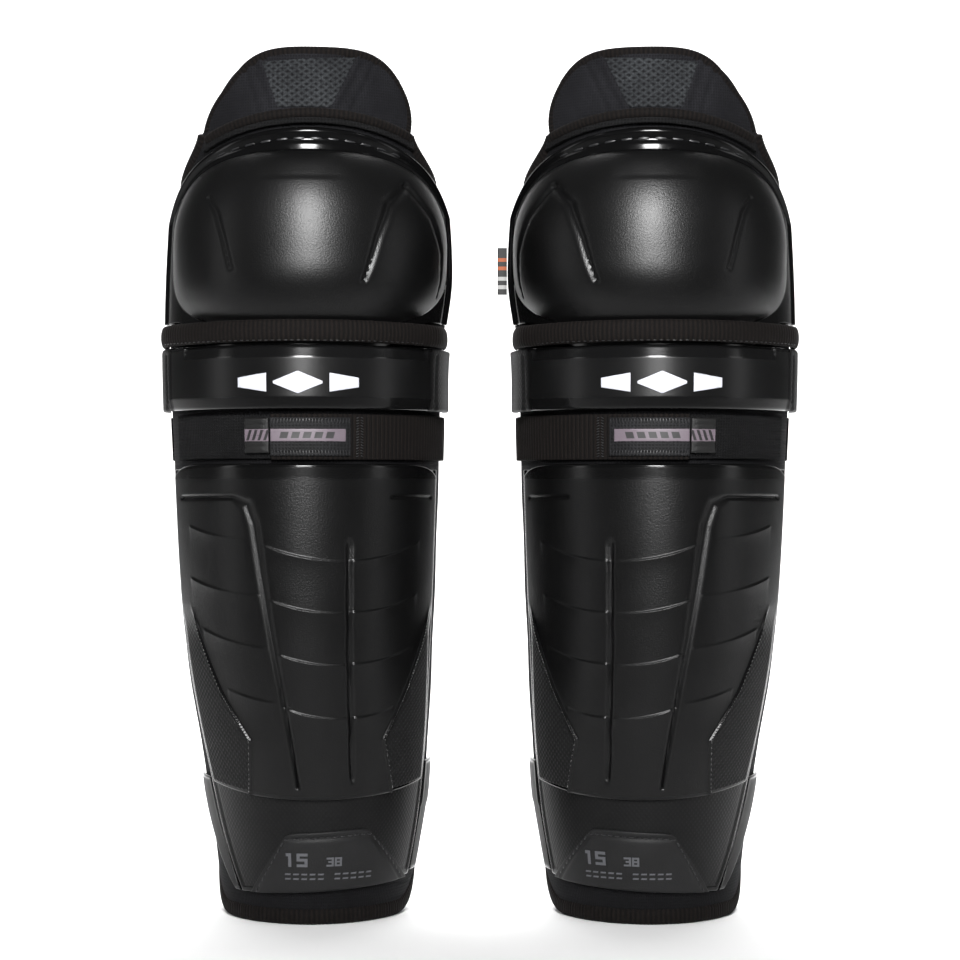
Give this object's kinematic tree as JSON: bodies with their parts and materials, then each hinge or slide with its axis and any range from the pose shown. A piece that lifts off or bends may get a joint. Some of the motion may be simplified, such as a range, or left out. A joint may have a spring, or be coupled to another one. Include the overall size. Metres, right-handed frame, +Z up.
{
  "type": "ice hockey shin guards",
  "caption": "Pair of ice hockey shin guards: domed knee caps, sling bands, hard shin caps on padded foam, a thigh flap and a calf strap on each.",
  "frame": {"origin": "middle of the pair's footprint, on the plane of the lower rims", "axes": "+Z up along the shins, -Y to the front, +X to the wearer's left"},
  "size_m": [0.3662, 0.1523, 0.484],
  "materials": {
    "cap_plastic": "satin black injection-moulded polyethylene, fine grain on the faces, gloss on the edges",
    "band_plastic": "glossy black moulded plastic with a satin centre panel",
    "textured_plastic": "black moulded plastic with a fine woven texture",
    "carrier_fabric": "black knitted fabric laminated to closed-cell foam",
    "binding_tape": "black ribbed textile tape",
    "lining_fabric": "black brushed wicking lining, quilted",
    "impact_foam": "closed-cell impact foam, hidden under the cap",
    "stretch_fabric": "black stretch knit",
    "loop_pile": "black brushed loop pile",
    "elastic_webbing": "black ribbed elastic webbing",
    "patch_fabric": "black coated fabric with overlock stitching",
    "bar_film": "grey-mauve welded film",
    "tab_rubber": "matte black moulded rubber",
    "patch_film": "smooth black film patch with stitched edge and grey print",
    "emblem_ink": "white raised print",
    "thread": "black sewing thread",
    "flap_foam": "compression-moulded fabric-faced foam, dark grey-black",
    "flap_mesh": "diamond mesh insert",
    "label_cloth": "woven folded label in plain colour blocks"
  },
  "bodies": {
    "right_shin": {"right_shin_carrier": "carrier_fabric", "right_shin_binding": "binding_tape", "right_shin_liner": "lining_fabric", "right_base_plate": "textured_plastic", "right_shin_cap": "cap_plastic", "right_lateral_wing": "textured_plastic", "right_medial_wing": "textured_plastic", "right_size_patch": "patch_film", "right_loop_panel": "loop_pile", "right_back_strap": "elastic_webbing", "right_flex_gusset": "stretch_fabric"},
    "right_knee": {"right_knee_carrier": "carrier_fabric", "right_knee_binding": "binding_tape", "right_knee_pad": "lining_fabric", "right_knee_cap": "cap_plastic", "right_knee_foam": "impact_foam", "right_knee_stitches": "thread", "right_knee_hem": "binding_tape"},
    "right_band": {"right_band_shell": "band_plastic", "right_band_roll": "binding_tape", "right_band_emblem": "emblem_ink", "right_band_stitches": "thread"},
    "right_strap": {"right_strap_web": "elastic_webbing", "right_strap_patch": "patch_fabric", "right_strap_bar": "bar_film"},
    "right_tab": {"right_pull_tab": "tab_rubber"},
    "right_flap": {"right_thigh_flap": "flap_foam", "right_flap_binding": "binding_tape", "right_flap_mesh": "flap_mesh"},
    "left_shin": {"left_shin_carrier": "carrier_fabric", "left_shin_binding": "binding_tape", "left_shin_liner": "lining_fabric", "left_base_plate": "textured_plastic", "left_shin_cap": "cap_plastic", "left_lateral_wing": "textured_plastic", "left_medial_wing": "textured_plastic", "left_size_patch": "patch_film", "left_loop_panel": "loop_pile", "left_back_strap": "elastic_webbing", "left_flex_gusset": "stretch_fabric"},
    "left_knee": {"left_knee_carrier": "carrier_fabric", "left_knee_binding": "binding_tape", "left_knee_pad": "lining_fabric", "left_knee_cap": "cap_plastic", "left_knee_foam": "impact_foam", "left_knee_stitches": "thread", "left_knee_hem": "binding_tape", "left_tab_label": "label_cloth"},
    "left_band": {"left_band_shell": "band_plastic", "left_band_roll": "binding_tape", "left_band_emblem": "emblem_ink", "left_band_stitches": "thread"},
    "left_strap": {"left_strap_web": "elastic_webbing", "left_strap_patch": "patch_fabric", "left_strap_bar": "bar_film"},
    "left_tab": {"left_pull_tab": "tab_rubber"},
    "left_flap": {"left_thigh_flap": "flap_foam", "left_flap_binding": "binding_tape", "left_flap_mesh": "flap_mesh"}
  },
  "joints": [
    {"name": "right_knee_flex", "type": "hinge", "parent": "right_shin", "child": "right_knee", "pos_m": [-0.1008, 0.02, 0.3], "axis": [-1, 0, 0], "range_deg": [0, 30]},
    {"name": "right_band_follow", "type": "hinge", "parent": "right_shin", "child": "right_band", "pos_m": [-0.1008, 0.02, 0.3], "axis": [-1, 0, 0], "range_deg": [0, 16]},
    {"name": "right_flap_fold", "type": "hinge", "parent": "right_knee", "child": "right_flap", "pos_m": [-0.1008, -0.016, 0.445], "axis": [-1, 0, 0], "range_deg": [0, 20]},
    {"name": "right_strap_open", "type": "hinge", "parent": "right_shin", "child": "right_strap", "pos_m": [-0.02211, 0.01272, 0.2695], "axis": [0, 0, 1], "range_deg": [0, 60]},
    {"name": "right_tab_lift", "type": "hinge", "parent": "right_strap", "child": "right_tab", "pos_m": [-0.11416, -0.0613, 0.2695], "axis": [0, 0, 1], "range_deg": [0, 70]},
    {"name": "left_knee_flex", "type": "hinge", "parent": "left_shin", "child": "left_knee", "pos_m": [0.1008, 0.02, 0.3], "axis": [-1, 0, 0], "range_deg": [0, 30]},
    {"name": "left_band_follow", "type": "hinge", "parent": "left_shin", "child": "left_band", "pos_m": [0.1008, 0.02, 0.3], "axis": [-1, 0, 0], "range_deg": [0, 16]},
    {"name": "left_flap_fold", "type": "hinge", "parent": "left_knee", "child": "left_flap", "pos_m": [0.1008, -0.016, 0.445], "axis": [-1, 0, 0], "range_deg": [0, 20]},
    {"name": "left_strap_open", "type": "hinge", "parent": "left_shin", "child": "left_strap", "pos_m": [0.02211, 0.01272, 0.2695], "axis": [0, 0, -1], "range_deg": [0, 60]},
    {"name": "left_tab_lift", "type": "hinge", "parent": "left_strap", "child": "left_tab", "pos_m": [0.11416, -0.0613, 0.2695], "axis": [0, 0, -1], "range_deg": [0, 70]},
    {"name": "set_apart", "type": "slide", "parent": "right_shin", "child": "left_shin", "axis": [1, 0, 0], "range_m": [0, 0.15]}
  ],
  "couplings": [
    {"joint": "right_band_follow", "follows": "right_knee_flex", "ratio": 0.5},
    {"joint": "left_band_follow", "follows": "left_knee_flex", "ratio": 0.5}
  ]
}
